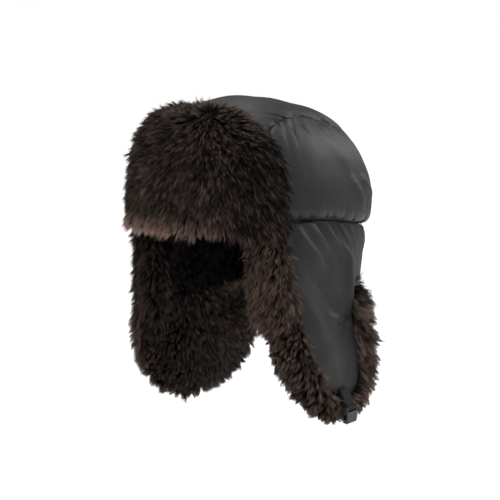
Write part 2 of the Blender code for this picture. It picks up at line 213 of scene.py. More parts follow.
def seam_height(y):
    return -SEAM_SLOPE * y / (1 + np.maximum(-y, 0) / 0.05)


def settle(x, y, z):
    top = WIDEST_Z + CROWN_RISE
    drop = np.where(z > 0, 1 - BACK_DROP * y / BACK_LENGTH, 1)
    return np.stack([x, y, z * drop + seam_height(y) * (1 - z / top)], -1)


def crown_start():
    return -math.asin((WIDEST_Z / ROLL_IN) ** (SQUARENESS / 2))


def crown_point(angle, climb, depth):
    lift = np.radians(between(math.degrees(crown_start()), 90, climb / 90))
    x, y = plan(angle)
    reach = np.maximum(np.cos(lift), 0) ** (2 / SQUARENESS)
    height = np.where(lift > 0, CROWN_RISE - depth, ROLL_IN)
    z = WIDEST_Z + np.sign(lift) * np.abs(np.sin(lift)) ** (2 / SQUARENESS) * height
    return settle(x * reach * (HALF_WIDTH - depth), y * reach * (half_length(y) - depth), z)


def strip_column(x, turn, depth):
    """One line of the centre strip, front to back over the head, at this x."""
    left = 1 - (abs(x) / (HALF_WIDTH - depth)) ** SQUARENESS
    sweep = np.linspace(-0.9, math.pi + 0.9, 1600)
    c, s = np.cos(sweep), np.sin(sweep)
    height = np.where(s > 0, CROWN_RISE - depth, ROLL_IN)
    length = half_length(-c) - depth
    outline = (np.abs(c) / length) ** SQUARENESS + (np.abs(s) / height) ** SQUARENESS
    radius = (left / outline) ** (1 / SQUARENESS)
    y, z = -radius * c, radius * s
    low = np.interp(WIDEST_Z, -z[:800][::-1], sweep[:800][::-1])
    chosen = between(low, math.pi - low, turn)
    return settle(np.full_like(turn, x), np.interp(chosen, sweep, y), np.interp(chosen, sweep, z) + WIDEST_Z)


def skirt_half_sizes(z, behind):
    down = np.maximum(-z, 0) / -FOLD_Z
    draw = np.where(behind, NECK_TAPER * np.minimum(down, 1.2) ** 1.4, 0)
    flare = FLAP_FLARE * np.maximum(down - 1, 0)
    length = np.where(behind, BACK_LENGTH, FRONT_LENGTH)
    return HALF_WIDTH - SKIRT_INSET + flare, length - SKIRT_INSET - draw


def skirt_point(angle, z, depth):
    x, y = plan(angle, squareness(np.where(angle < 90, angle, 180 - angle), z))
    half_width, length = skirt_half_sizes(z, y > 0)
    x, y = x * (half_width - depth), y * (length - depth)
    return np.stack([x, y, z + seam_height(y) * np.maximum(1 - z / FOLD_Z, 0)], -1)


def flap_point(y, z, depth):
    half_width, _ = skirt_half_sizes(z, False)
    _, length = skirt_half_sizes(np.full_like(y, FOLD_Z), y > 0)
    power = squareness(y, z)
    bow = (1 - (np.abs(y) / length) ** power) ** (1 / power)
    return np.stack([half_width * bow - depth, y, z], -1)


def visor_point(angle, share, depth):
    out = VISOR_CLEAR - depth
    rise = CROWN_RISE + VISOR_RISE + out
    end = np.minimum(np.abs(angle + 90) / VISOR_HALF_SPAN, 1)
    z = between(VISOR_BOTTOM - VISOR_END_DROP * end**2, VISOR_TOP, share)
    climb = np.maximum(z - WIDEST_Z, 0)
    reach = (1 - (climb / rise) ** SQUARENESS) ** (1 / SQUARENESS)
    x, y = plan(angle)
    z = np.where(climb > 0, WIDEST_Z + climb, z)
    return np.stack([x * reach * (HALF_WIDTH + out), y * reach * (FRONT_LENGTH + out), z], -1)


# ---- sheets of cloth

SEAM_SHADE_REACH = 0.0011  # how far the painted shade along a seam spreads


def grid_normals(grid):
    """Unit normals of a grid of points, pointing away from the middle of the head."""
    normals = unit(np.cross(np.gradient(grid, axis=1), np.gradient(grid, axis=0)))
    outwards = (normals * (grid - (0, 0, -0.02))).sum()
    return normals if outwards > 0 else -normals


def run_along(grid, axis):
    """Distance along the cloth from the grid's first edge on this axis."""
    steps = np.linalg.norm(np.diff(grid, axis=axis), axis=-1)
    first = np.zeros_like(np.take(steps, [0], axis))
    return np.concatenate([first, np.cumsum(steps, axis)], axis)


def run_back(grid, axis):
    """The same from its last edge."""
    return np.flip(run_along(np.flip(grid, axis), axis), axis)


def sheet(name, outer, inner, material, normals=None, seam=None):
    """A closed thin piece between two grids of points, with the cloth's own sizes as its UVs.

    seam is each point's distance to the nearest sewn edge, where shade is painted into the cloth's colour as
    a dark line.
    """
    rows, columns = outer.shape[:2]
    count = rows * columns
    index = np.arange(count).reshape(rows, columns)
    quads = np.stack([index[:-1, :-1], index[:-1, 1:], index[1:, 1:], index[1:, :-1]], -1).reshape(-1, 4)
    loop = np.concatenate([index[0, :-1], index[:-1, -1], index[-1, :0:-1], index[:0:-1, 0]])
    following = np.roll(loop, -1)
    rim = np.stack([loop, loop + count, following + count, following], -1)
    faces = np.concatenate([quads, quads[:, ::-1] + count, rim])
    points = np.concatenate([outer.reshape(-1, 3), inner.reshape(-1, 3)])
    a, b, c, d = (points[faces[:, k]] for k in range(4))
    volume = (a * np.cross(b, c)).sum() + (a * np.cross(c, d)).sum()
    if volume < 0:
        faces = faces[:, ::-1]
    mesh = mesh_from(name, points, faces)
    across, down = run_along(outer, 1), run_along(outer, 0)
    uv = np.stack([across, down], -1).reshape(-1, 2)
    uv = np.concatenate([uv, uv])[faces.ravel()]
    layer = mesh.uv_layers.new(name="cloth")
    layer.data.foreach_set("uv", uv.astype(np.float32).ravel())
    if seam is not None:
        # painted shade: a dark line along each seam, where the cloth dips into its groove
        set_values(mesh, "seam", np.tile(np.exp(-((seam.ravel() / SEAM_SHADE_REACH) ** 2)), 2))
    mesh.set_sharp_from_angle(angle=math.radians(60))
    if normals is not None:
        both = np.concatenate([normals.reshape(-1, 3), -normals.reshape(-1, 3)])
        mesh.normals_split_custom_set_from_vertices(both.tolist())
    return link(name, mesh, material)


def fold(points, start, end, width, height):
    """A soft ridge from start to end, both (y, z), that fades out at its ends."""
    place = points[..., 1:3]
    line = np.subtract(end, start)
    length = np.linalg.norm(line)
    line = line / length
    along = ((place - start) @ line) / length
    across = np.abs((place - start) @ (-line[1], line[0]))
    ridge = height * np.exp(-((across / width) ** 2))
    return ridge * ease(-0.25, 0.2, along) * ease(1.25, 0.7, along)


# ---- materials


class Shader:
    """A Principled material and short calls to add and join its nodes."""

    def __init__(self, name, **settings):
        self.material = bpy.data.materials.new(name)
        self.material.use_nodes = True
        self.nodes = self.material.node_tree.nodes
        self.links = self.material.node_tree.links
        self.principled = self.nodes["Principled BSDF"]
        for socket, value in settings.items():
            self.principled.inputs[socket.replace("_", " ")].default_value = value

    def add(self, kind, settings=None, **inputs):
        node = self.nodes.new("ShaderNode" + kind)
        for key, value in (settings or {}).items():
            setattr(node, key, value)
        for key, value in inputs.items():
            self.put(node.inputs[key.replace("_", " ")], value)
        return node

    def put(self, socket, value):
        if isinstance(value, bpy.types.NodeSocket):
            self.links.new(value, socket)
        else:
            socket.default_value = value

    def math(self, operation, a, b=0.0, c=0.0):
        node = self.add("Math", {"operation": operation})
        for socket, value in zip(node.inputs, (a, b, c)):
            self.put(socket, value)
        return node.outputs[0]

    def ramp(self, factor, *stops):
        node = self.add("ValToRGB", Fac=factor)
        while len(node.color_ramp.elements) < len(stops):
            node.color_ramp.elements.new(0.5)
        for element, (place, colour) in zip(node.color_ramp.elements, stops):
            element.position = place
            element.color = (*colour, 1) if len(colour) == 3 else colour
        return node.outputs["Color"]

    def mix(self, factor, a, b, blend_type="MIX"):
        node = self.add("Mix", {"data_type": "RGBA", "blend_type": blend_type})
        for socket, value in zip((node.inputs[0], node.inputs[6], node.inputs[7]), (factor, a, b)):
            self.put(socket, value)
        return node.outputs[2]

    def attribute(self, name):
        return self.add("Attribute", {"attribute_name": name}).outputs["Fac"]

    def place(self):
        return self.add("TexCoord").outputs["Object"]

    def noise(self, scale, detail=4.0, roughness=0.55):
        node = self.add("TexNoise", Vector=self.place(), Scale=scale, Detail=detail, Roughness=roughness)
        return node.outputs["Fac"]

    def finish(self, colour, roughness, height=None, strength=0.3, distance=0.0005):
        self.put(self.principled.inputs["Base Color"], colour)
        self.put(self.principled.inputs["Roughness"], roughness)
        if height is not None:
            bump = self.add("Bump", Height=height, Strength=strength, Distance=distance)
            self.put(self.principled.inputs["Normal"], bump.outputs["Normal"])
        return self.material


def woven(shader, *threads):
    """Height of a weave, from two directions and the spacing of the threads along each."""
    waves = [shader.math("SINE", shader.math("MULTIPLY", way, 2 * math.pi / gap)) for way, gap in threads]
    return shader.math("MULTIPLY", *waves)


def weave_height(shader, thread):
    """Height of a plain weave with this spacing, from the cloth's UVs."""
    cloth = shader.add("UVMap", {"uv_map": "cloth"}).outputs[0]
    parts = shader.add("SeparateXYZ", Vector=cloth).outputs
    return woven(shader, (parts[0], thread), (parts[1], thread))


def grey(value):
    return value, value, value


def nylon_material():
    """Dull black cloth with uneven threads, and painted shade beside its seams."""
    shader = Shader("nylon", Sheen_Weight=0.05, Sheen_Roughness=0.4, IOR=1.36)
    patch = shader.noise(28.0, 3.0)
    slub = shader.noise(900.0, 2.0)
    colour = shader.ramp(patch, (0.3, grey(0.0100)), (0.7, grey(0.0145)))
    threads = shader.ramp(slub, (0.3, grey(0.004)), (0.75, grey(0.030)))
    colour = shader.mix(0.45, colour, threads)
    # painted shade: the seams' dark lines, darkest at the sewn edge
    shade = shader.math("MULTIPLY", shader.attribute("seam"), 0.85)
    colour = shader.mix(shade, colour, (*grey(0.0012), 1))
    roughness = shader.math("MULTIPLY_ADD", shader.noise(60.0, 3.0), 0.10, 0.44)
    weave = weave_height(shader, 0.0008)
    height = shader.math("MULTIPLY_ADD", weave, 0.25, slub)
    return shader.finish(colour, roughness, height, 0.45, 0.0003)


def lining_material():
    shader = Shader("lining", Sheen_Weight=0.2, IOR=1.45)
    colour = shader.ramp(shader.noise(40.0), (0.3, (0.014, 0.013, 0.013)), (0.7, (0.026, 0.024, 0.024)))
    roughness = shader.math("MULTIPLY_ADD", shader.noise(150.0), 0.2, 0.38)
    return shader.finish(colour, roughness, weave_height(shader, 0.0006), 0.2, 0.0002)


def fur_material(name, root, middle, tip, spread):
    """Pile that lightens from root to tip, its own colour and also painted shade deep in the pile, with each
    tuft a little different.
    """
    shader = Shader(name, Sheen_Weight=0.0, IOR=1.38, Specular_IOR_Level=0.28)
    along, tone = shader.attribute("along"), shader.attribute("tone")
    colour = shader.ramp(along, (0.0, root), (0.55, middle), (1.0, tip))
    dark = shader.math("MULTIPLY_ADD", tone, 2 * spread, 1 - spread)
    shade = shader.add("CombineColor", Red=dark, Green=dark, Blue=dark).outputs[0]
    colour = shader.mix(1.0, colour, shade, "MULTIPLY")
    roughness = shader.math("MULTIPLY_ADD", tone, 0.12, 0.46)
    return shader.finish(colour, roughness)


def matted_material(name, size, dark, light, roughness, bump):
    """Matted fibres: one noise drives the colour, the roughness and the bump."""
    shader = Shader(name, IOR=1.4)
    fibre = shader.noise(*size)
    colour = shader.ramp(fibre, dark, light)
    return shader.finish(colour, shader.math("MULTIPLY_ADD", fibre, *roughness), fibre, *bump)


def webbing_material():
    """Narrow woven tape: ribs across the tape and finer threads along it."""
    shader = Shader("webbing", Sheen_Weight=0.0, IOR=1.40, Specular_IOR_Level=0.3)
    parts = shader.add("SeparateXYZ", Vector=shader.place()).outputs
    height = woven(shader, (parts[2], 0.0012), (parts[1], 0.0009))
    worn = shader.noise(300.0)
    colour = shader.ramp(worn, (0.3, (0.006, 0.006, 0.0062)), (0.7, (0.011, 0.011, 0.0114)))
    return shader.finish(colour, shader.math("MULTIPLY_ADD", worn, 0.2, 0.5), height, 0.6, 0.0003)


def acetal_material():
    """Moulded plastic with a fine spark-eroded grain."""
    shader = Shader("acetal", IOR=1.48)
    grain = shader.noise(2600.0, 3.0)
    colour = shader.ramp(shader.noise(120.0), (0.3, (0.004, 0.004, 0.0042)), (0.7, (0.007, 0.007, 0.0072)))
    roughness = shader.math("MULTIPLY_ADD", grain, 0.15, 0.24)
    return shader.finish(colour, roughness, grain, 0.15, 0.0001)


NYLON = nylon_material()
LINING = lining_material()
FUR_ROOT, FUR_MIDDLE = (0.0010, 0.0006, 0.0005), (0.0036, 0.0023, 0.0018)
# painted shade: the two copies below are darker than the fur, the first at its tips, for the pile that faces
# the head and for the far edge roll, the second throughout, for the pile inside the skirt
SHADED_ROOT, SHADED_MIDDLE = (0.0006, 0.0004, 0.0003), (0.0022, 0.0014, 0.0011)
FUR = fur_material("fur", FUR_ROOT, FUR_MIDDLE, (0.160, 0.107, 0.087), 0.97)
FUR_PAINTED_SHADE = fur_material("fur_painted_shade", FUR_ROOT, FUR_MIDDLE, (0.090, 0.061, 0.050), 0.95)
FUR_PAINTED_DEEP_SHADE = fur_material("fur_painted_deep_shade", SHADED_ROOT, SHADED_MIDDLE, (0.012, 0.0082, 0.0068), 0.6)
# The knitted backing and crushed under-pile below the strands
FUR_BASE = matted_material("fur_base", (260.0, 5.0, 0.7), (0.35, (0.0010, 0.0007, 0.0006)),
                           (0.75, (0.0040, 0.0026, 0.0021)), (0.2, 0.7), (0.8, 0.0015))
WEBBING = webbing_material()
ACETAL = acetal_material()
WADDING = matted_material("wadding", (700.0, 6.0, 0.7), (0.3, grey(0.012)), (0.7, grey(0.028)),
                          (0.1, 0.85), (0.5, 0.0005))
FELT = matted_material("felt", (900.0, 6.0, 0.75), (0.3, (0.016, 0.014, 0.013)),
                       (0.7, (0.034, 0.030, 0.028)), (0.1, 0.82), (0.5, 0.0004))
CARRIED_OVER = {"wadding": WADDING, "felt": FELT, "tab": WEBBING, "buckle": ACETAL}


# ---- crown

SHELL_THICK = 0.0004
SEWN_GAP = 0.0002  # from a panel's edge to the seam line
SEAM_DEPTH = 0.0030
STRIP_SEAM_DEPTH = 0.0018
STRIP_SEAM_SHADE = 0.55  # distances to the strip's seams count for this much, so their shade is wider
LINING_DEPTHS = (0.0080, 0.0140)
QUILT_PITCH = 0.030
QUILT_HEIGHT = 0.0022
# Soft ridges: start and end as (y, z), width and height
SIDE_FOLDS = (
    ((-0.012, 0.078), (0.018, 0.052), 0.009, 0.0012),
    ((0.040, 0.074), (0.078, 0.010), 0.010, 0.0014),
    ((0.022, 0.035), (0.043, 0.012), 0.0055, 0.0022),
    ((0.043, 0.035), (0.070, 0.017), 0.0045, 0.0020),
)


def puff(away, height, reach):
    """Lift of padded cloth at this distance from a seam: a tight roll beside it, then a slow swell."""
    return height * (0.55 * (1 - np.exp(-away / 0.0010)) + 0.45 * (1 - np.exp(-away / reach)))


def pucker(pattern, along, away, size, seed, height, reach, start):
    """Stripes or creases beside a seam, up to this height, that fade out at about reach."""
    return height * pattern(along, away, size, seed) * np.exp(-away / reach) * ease(0, start, away)


def side_panel(columns, rows, depth):
    """The left side panel as a grid, from the seam at its foot up to the centre strip."""
    edge = STRIP_HALF_WIDTH + SEWN_GAP
    start = crown_start()
    at_seam = math.cos(start) ** (2 / SQUARENESS)
    candidates = np.linspace(30, 89, 4000)
    wide = plan(candidates)[0] * (HALF_WIDTH - depth) * at_seam
    widest = candidates[wide > edge + 0.0004][-1]
    angle = widest * np.sin(np.linspace(-math.pi / 2, math.pi / 2, columns))
    x = plan(angle)[0] * (HALF_WIDTH - depth)
    lift_end = np.arccos(np.minimum((edge / x) ** (SQUARENESS / 2), 1))
    share = clustered(0, 1, rows)[:, None]
    climb = 90 * share * ((lift_end - start) / (math.pi / 2 - start))[None]
    return crown_point(np.broadcast_to(angle, climb.shape), climb, depth)


def side_relief(grid, seed):
    """Height of a side panel's roll, puckers and folds."""
    low, high = run_along(grid, 0), run_back(grid, 0)
    along = run_along(grid[:1], 1) + low * 0.35
    top_along = run_along(grid[-1:], 1) + high * 0.2
    lift = np.minimum(puff(low, 0.0058, 0.009) - SEAM_DEPTH, puff(high, 0.0048, 0.013) - STRIP_SEAM_DEPTH)
    lift += pucker(stripes, along, low, 0.0105, seed, 0.0014, 0.010, 0.002)
    lift += pucker(creases, along + low * 0.3, low, 0.014, seed + 1, 0.0030, 0.007, 0.001)
    lift += pucker(stripes, top_along, high, 0.0100, seed + 3, 0.0022, 0.013, 0.002)
    lift += pucker(creases, top_along - high * 0.4, high, 0.017, seed + 4, 0.0052, 0.011, 0.001)
    uneven = 0.0009 * noise(grid * (1.0, 0.8, 1.3), 0.030, seed + 5)
    lift += uneven * ease(0, 0.02, low) * ease(0, 0.02, high)
    for ridge in SIDE_FOLDS:
        lift += fold(grid, *ridge)
    return lift


def lifted(grid, lift):
    return grid + grid_normals(grid) * lift[..., None]


def mirrored(grid, side):
    return grid * (side, 1, 1)


def crown_cloth(name, shell, seam, side=1):
    inner = shell - grid_normals(shell) * SHELL_THICK
    made = sheet(f"{name}_cloth", mirrored(shell, side), mirrored(inner, side), NYLON, seam=seam)
    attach(made, "crown")
    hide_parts(name)


def make_crown_side(side, hand):
    grid = side_panel(260, 100, 0)
    shell = lifted(grid, side_relief(grid, 1 if side > 0 else 41))
    seam = np.minimum(run_along(grid, 0), run_back(grid, 0) * STRIP_SEAM_SHADE)
    crown_cloth(f"crown_{hand}_panel", shell, seam, side)


def strip_grid(columns, rows, depth):
    edge = STRIP_HALF_WIDTH - SEWN_GAP
    turn = clustered(0, 1, rows)
    return np.stack([strip_column(x, turn, depth) for x in clustered(-edge, edge, columns)], 1)


def make_crown_strip():
    grid = strip_grid(130, 300, 0)
    left, right = run_along(grid, 1), run_back(grid, 1)
    front, back = run_along(grid, 0), run_back(grid, 0)
    side = np.minimum(left, right)
    ends = puff(np.minimum(front, back), 0.0056, 0.009) - SEAM_DEPTH
    lift = np.minimum(puff(side, 0.0036, 0.012) - STRIP_SEAM_DEPTH, ends)
    for away, seed in ((left, 11), (right, 13)):
        lift += pucker(stripes, front, away, 0.0105, seed, 0.0020, 0.012, 0.002)
        lift += pucker(creases, front + away * 0.3, away, 0.018, seed + 1, 0.0046, 0.010, 0.001)
    for away, seed in ((front, 15), (back, 17)):
        lift += pucker(stripes, left, away, 0.0100, seed, 0.0018, 0.012, 0.002)
    lift += 0.0012 * noise(grid * (1.3, 0.6, 0.6), 0.030, 19) * ease(0, 0.02, side)
    # the wadding stands higher towards the back of the head
    lift += 0.0034 * ease(0.01, 0.08, grid[..., 1]) * ease(0, 0.010, np.minimum(side, back))
    seam = np.minimum(side * STRIP_SEAM_SHADE, np.minimum(front, back))
    crown_cloth("crown_centre_panel", lifted(grid, lift), seam)


def make_tapes(name, outer):
    """A tape and its mirror image, sewn behind a seam."""
    inner = outer - grid_normals(outer) * SHELL_THICK
    for side, hand in HANDS:
        made = sheet(f"{name}_{hand}", mirrored(outer, side), mirrored(inner, side), LINING)
        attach(made, "crown")


def make_crown_tapes():
    """Behind the seams between the centre strip and the side panels."""
    turn = np.linspace(0, 1, 160)
    across = np.linspace(-0.004, 0.004, 7)
    lines = [strip_column(STRIP_HALF_WIDTH + off, turn, 0.0030) for off in across]
    make_tapes("crown_seam_tape", np.stack(lines, 1))


def make_skirt_tapes():
    """Behind the seam between the crown and the skirt, all the way round."""
    angle = np.linspace(-90, 90, 140)[None]
    share = np.linspace(0, 1, 6)[:, None]
    z = between(SKIRT_TOP + 0.0045, SKIRT_TOP - 0.0015, share)
    make_tapes("skirt_seam_tape", skirt_point(angle, z, between(0.0055, 0.0075, share)))


def quilted(grid):
    """Depth of diamond quilting on the lining."""
    u, v = run_along(grid, 1), run_along(grid, 0)
    lines = [np.abs((way / QUILT_PITCH) % 1 - 0.5) for way in (u + v, u - v)]
    away = (0.5 - np.maximum(*lines)) * QUILT_PITCH
    return QUILT_HEIGHT * (1 - np.exp(-((away / 0.005) ** 2)))


def make_lining(name, make_grid, side=1):
    outer, inner = (make_grid(depth) for depth in LINING_DEPTHS)
    quilt = quilted(inner) * ease(0, 0.006, run_along(inner, 0))
    inner = inner - grid_normals(inner) * quilt[..., None]
    made = sheet(f"{name}_quilt", mirrored(outer, side), mirrored(inner, side), LINING)
    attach(made, "crown")
    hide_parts(name)


def make_crown():
    for side, hand in HANDS:
        make_crown_side(side, hand)
        make_lining(f"crown_{hand}_lining", lambda depth: side_panel(90, 50, depth), side)
    make_crown_strip()
    make_crown_tapes()
    make_skirt_tapes()
    make_lining("crown_centre_lining", lambda depth: strip_grid(70, 140, depth))


def make_forehead_band():
    angle = np.linspace(-180 - FRONT_EDGE_TOP + BAND_SHORT, FRONT_EDGE_TOP - BAND_SHORT, 60)[None]
    share = np.linspace(0, 1, 10)[:, None]

    def face(depth, belly):
        x, y = plan(angle)
        out = depth - belly * np.sin(math.pi * share)
        y = y * (FRONT_LENGTH - out)
        return np.stack([x * (HALF_WIDTH - out), y, seam_height(y) + SKIRT_TOP - BAND_DROP * share], -1)

    made = sheet("forehead_band_cloth", face(SKIRT_INSET + 0.001, 0.001), face(0.0118, -0.001), NYLON)
    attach(made, "crown")
    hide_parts("forehead_band")


# ---- skirt and ear flap nylon

SKIRT_ROWS = 80
FLAP_ROWS = 80
FLAP_COLUMNS = 110
EDGE_TURN = 0.0022  # how far the nylon turns in at its free edges, and over what distance
EDGE_REACH = 0.005
# Soft ridges and, where the height is below 0, valleys: start and end as (y, z), width and height
SKIRT_FOLDS = (
    ((-0.056, -0.062), (-0.006, -0.136), 0.0120, 0.0050),
    ((-0.042, -0.040), (0.016, -0.102), 0.0085, -0.0024),
    ((-0.010, -0.090), (0.024, -0.097), 0.0040, 0.0020),
    ((0.022, -0.036), (0.026, -0.086), 0.0075, 0.0040),
    ((0.004, -0.098), (0.026, -0.090), 0.0040, -0.0028),
    ((-0.052, -0.010), (-0.022, -0.040), 0.0050, 0.0022),
    ((-0.010, -0.012), (0.022, -0.036), 0.0050, 0.0020),
)


def half_skirt():
    """The skirt's left half as a grid, and the columns that carry on into the ear flap."""
    angles = np.linspace(FRONT_EDGE_FOLD, 90, 2000)
    y_at_fold = skirt_point(angles, np.full_like(angles, FOLD_Z), 0)[:, 1]
    share = np.linspace(-1, 1, FLAP_COLUMNS)
    flap_angles = np.interp(FLAP_CENTRE_Y + share * FLAP_HALF_LENGTH, y_at_fold, angles)
    before = np.linspace(FRONT_EDGE_FOLD, flap_angles[0], 9)[:-1]
    after = np.linspace(flap_angles[-1], 90, 110)[1:]
    at_fold = np.concatenate([before, flap_angles, after])
    turn = (at_fold - FRONT_EDGE_FOLD) / (90 - FRONT_EDGE_FOLD)
    down = np.linspace(0, 1, SKIRT_ROWS)[:, None] ** 1.5
    front = between(FRONT_EDGE_TOP, FRONT_EDGE_FOLD, down**0.8)
    angle = front + (90 - front) * turn[None]
    neck = ease(52, 64, angle)
    z = between(SKIRT_TOP, FOLD_Z - neck * NECK_LOWER, down)
    return skirt_point(angle, z, 0), len(before), len(before) + FLAP_COLUMNS


def flap_grid():
    share_across = np.linspace(-1, 1, FLAP_COLUMNS)[None]
    share_down = np.sin(np.linspace(0, math.pi / 2, FLAP_ROWS))[:, None]
    down = share_down * FLAP_TIP
    half = FLAP_HALF_LENGTH * (1 - down**3.2) ** 0.6
    y = FLAP_CENTRE_Y + FLAP_LEAN * down**1.3 + share_across * half
    z = np.broadcast_to(FOLD_Z - share_down * FLAP_DROP, y.shape)
    return flap_point(y, z, 0)


def skirt_relief(grid, down, front_edge, seed):
    """Height of the nylon's puckers and folds. down is the distance to the seam above."""
    along = grid[..., 1] - down * 0.75
    lift = puff(down, 0.0042, 0.008) - SEAM_DEPTH
    lift += pucker(stripes, along, down, 0.0130, seed, 0.0054, 0.018, 0.002)
    lift += pucker(creases, along, down, 0.017, seed + 1, 0.0048, 0.014, 0.001)
    lift += 0.0010 * noise(grid * (1, 1, 0.45), 0.020, seed + 2) * ease(0.004, 0.03, down)
    for ridge in SKIRT_FOLDS:
        lift += fold(grid, *ridge)
    lift -= EDGE_TURN * np.exp(-front_edge / EDGE_REACH)
    return lift


def stack_normals(skirt, flap, first, last):
    """Normals of both grids, which agree along the fold they share."""
    column = grid_normals(np.concatenate([skirt[:, first:last], flap[1:]]))
    normals = grid_normals(skirt)
    normals[:, first:last] = column[: len(skirt)]
    return normals, column[len(skirt) - 1 :]


def make_skirt_and_flap(side, hand):
    skirt, first, last = half_skirt()
    flap = flap_grid()
    skirt_normals, flap_normals = stack_normals(skirt, flap, first, last)
    seed = 21 if side > 0 else 61
    down = run_along(skirt, 0)
    flap_down = down[-1:, first:last] + run_along(flap, 0)
    back = run_back(skirt, 1)
    lift = skirt_relief(skirt, down, run_along(skirt, 1), seed) - 0.0025 * np.exp(-back / 0.006)
    edge = np.minimum(run_along(flap, 1), run_back(flap, 1)) + 0.002
    share = ease(0, 0.2, run_along(flap, 0) / FLAP_DROP)
    flap_edge = between(run_along(skirt, 1)[-1:, first:last], edge, share)
    flap_lift = skirt_relief(flap, flap_down, flap_edge, seed)
    flap_lift -= EDGE_TURN * np.exp(-run_back(flap, 0) / EDGE_REACH)
    flap_lift[0] = lift[-1, first:last]
    skirt = skirt + skirt_normals * lift[..., None]
    flap = flap + flap_normals * flap_lift[..., None]
    skirt_normals, flap_normals = stack_normals(skirt, flap, first, last)
    made = {}
    for name, grid, normals, seam in (
        (f"skirt_{hand}_cloth", skirt, skirt_normals, np.minimum(down, back)),
        (f"ear_flap_{hand}_panel_cloth", flap, flap_normals, np.full(flap.shape[:2], 1.0)),
    ):
        outer, inner, facing = (mirrored(a, side) for a in (grid, grid - normals * SHELL_THICK, normals))
        made[name] = sheet(name, outer, inner, NYLON, facing, seam)
    skirt_piece, flap_piece = made.values()
    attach(skirt_piece, "crown")
    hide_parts("skirt_panel")
    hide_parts(f"ear_flap_{hand}_panel")
    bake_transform(flap_piece)


# ---- visor


def make_visor_panel():
    across = np.linspace(-1, 1, 90)[None]
    up = np.linspace(0, 1, 40)[:, None]
    share = up * (0.36 + 0.64 * (1 - (0.985 * np.abs(across)) ** 3) ** 0.5)
    angle = np.broadcast_to(-90 + across * VISOR_HALF_SPAN, share.shape)
    back = visor_point(angle, share, 0.0)
    front = visor_point(angle, share, -0.0009)
    side = np.minimum(np.minimum(run_along(back, 1), run_back(back, 1)), run_back(back, 0))
    ripple = 0.0007 * noise(back, 0.018, 31) * ease(0, 0.01, side)
    made = sheet("visor_back_panel_cloth", front, lifted(back, ripple), NYLON)
    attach(made, "visor")
    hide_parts("visor_back_panel")


# ---- fur


def smooth_bed(node, name, inset, voxel=0.0035):
    """A smooth copy of a CAD pad, drawn in by inset on every side, for the pile to grow from."""
    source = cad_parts[node]
    mesh = source.data.copy()
    mesh.materials.clear()
    made = link(name, mesh, FUR_BASE)
    made.matrix_world = source.matrix_world.copy()
    bpy.context.view_layer.update()
    remesh = made.modifiers.new("remesh", "REMESH")
    remesh.mode = "VOXEL"
    remesh.voxel_size = voxel
    smooth = made.modifiers.new("smooth", "SMOOTH")
    smooth.factor = 0.6
    smooth.iterations = 14
    evaluated = made.evaluated_get(bpy.context.evaluated_depsgraph_get())
    final = bpy.data.meshes.new_from_object(evaluated)
    final.transform(made.matrix_world)
    made.modifiers.clear()
    made.matrix_world = Matrix.Identity(4)
    made.data = final
    final.materials.clear()
    final.materials.append(FUR_BASE)
    points, normals = vertex_arrays(final)
    move_vertices(final, points - normals * inset)
    final.shade_smooth()
    return made


def move_vertices(mesh, points):
    mesh.vertices.foreach_set("co", points.astype(np.float32).ravel())
    mesh.update()


def vertex_arrays(mesh):
    points = np.empty(len(mesh.vertices) * 3, np.float32)
    mesh.vertices.foreach_get("co", points)
    normals = np.empty(len(mesh.vertices) * 3, np.float32)
    mesh.vertex_normals.foreach_get("vector", normals)
    return points.reshape(-1, 3).astype(float), normals.reshape(-1, 3).astype(float)


def scatter(mesh, count, rng):
    """Evenly spread random points on a mesh, with the surface's normals there."""
    mesh.calc_loop_triangles()
    corners = np.empty(len(mesh.loop_triangles) * 3, np.int32)
    mesh.loop_triangles.foreach_get("vertices", corners)
    corners = corners.reshape(-1, 3)
    points, normals = vertex_arrays(mesh)
    a, b, c = (points[corners[:, k]] for k in range(3))
    area = np.linalg.norm(np.cross(b - a, c - a), axis=1)
    spread = np.cumsum(area) / area.sum()
    chosen = np.searchsorted(spread, (np.arange(count) + rng.random(count)) / count)
    chosen = np.minimum(chosen, len(corners) - 1)
    u, v = rng.random(count), rng.random(count)
    over = u + v > 1
    u, v = np.where(over, 1 - u, u)[:, None], np.where(over, 1 - v, v)[:, None]
    weights = (1 - u - v, u, v)
    place = sum(w * points[corners[chosen, k]] for k, w in enumerate(weights))
    facing = unit(sum(w * normals[corners[chosen, k]] for k, w in enumerate(weights)))
    return place, facing


def nearest(points, centres):
    """Index of the nearest centre to each point."""
    tree = KDTree(len(centres))
    for index, centre in enumerate(centres):
        tree.insert(centre, index)
    tree.balance()
    return np.array([tree.find(point)[1] for point in points])


STRAND_RINGS = (0.0, 0.34, 0.70)  # shares of its length; its tip is a point
STRAND_WIDTHS = (0.80, 1.0, 0.72)
STRAND_WIDTH = 0.00032
GATHER = 0.85  # how far strands lean in towards their tuft's tip
DROOP = np.array((0, 0, -0.10))
GUARD_SHARE = 0.08  # guard hairs: how many of the strands, how much longer and how much lighter
GUARD_LENGTH = 1.15
GUARD_TONE = 0.7


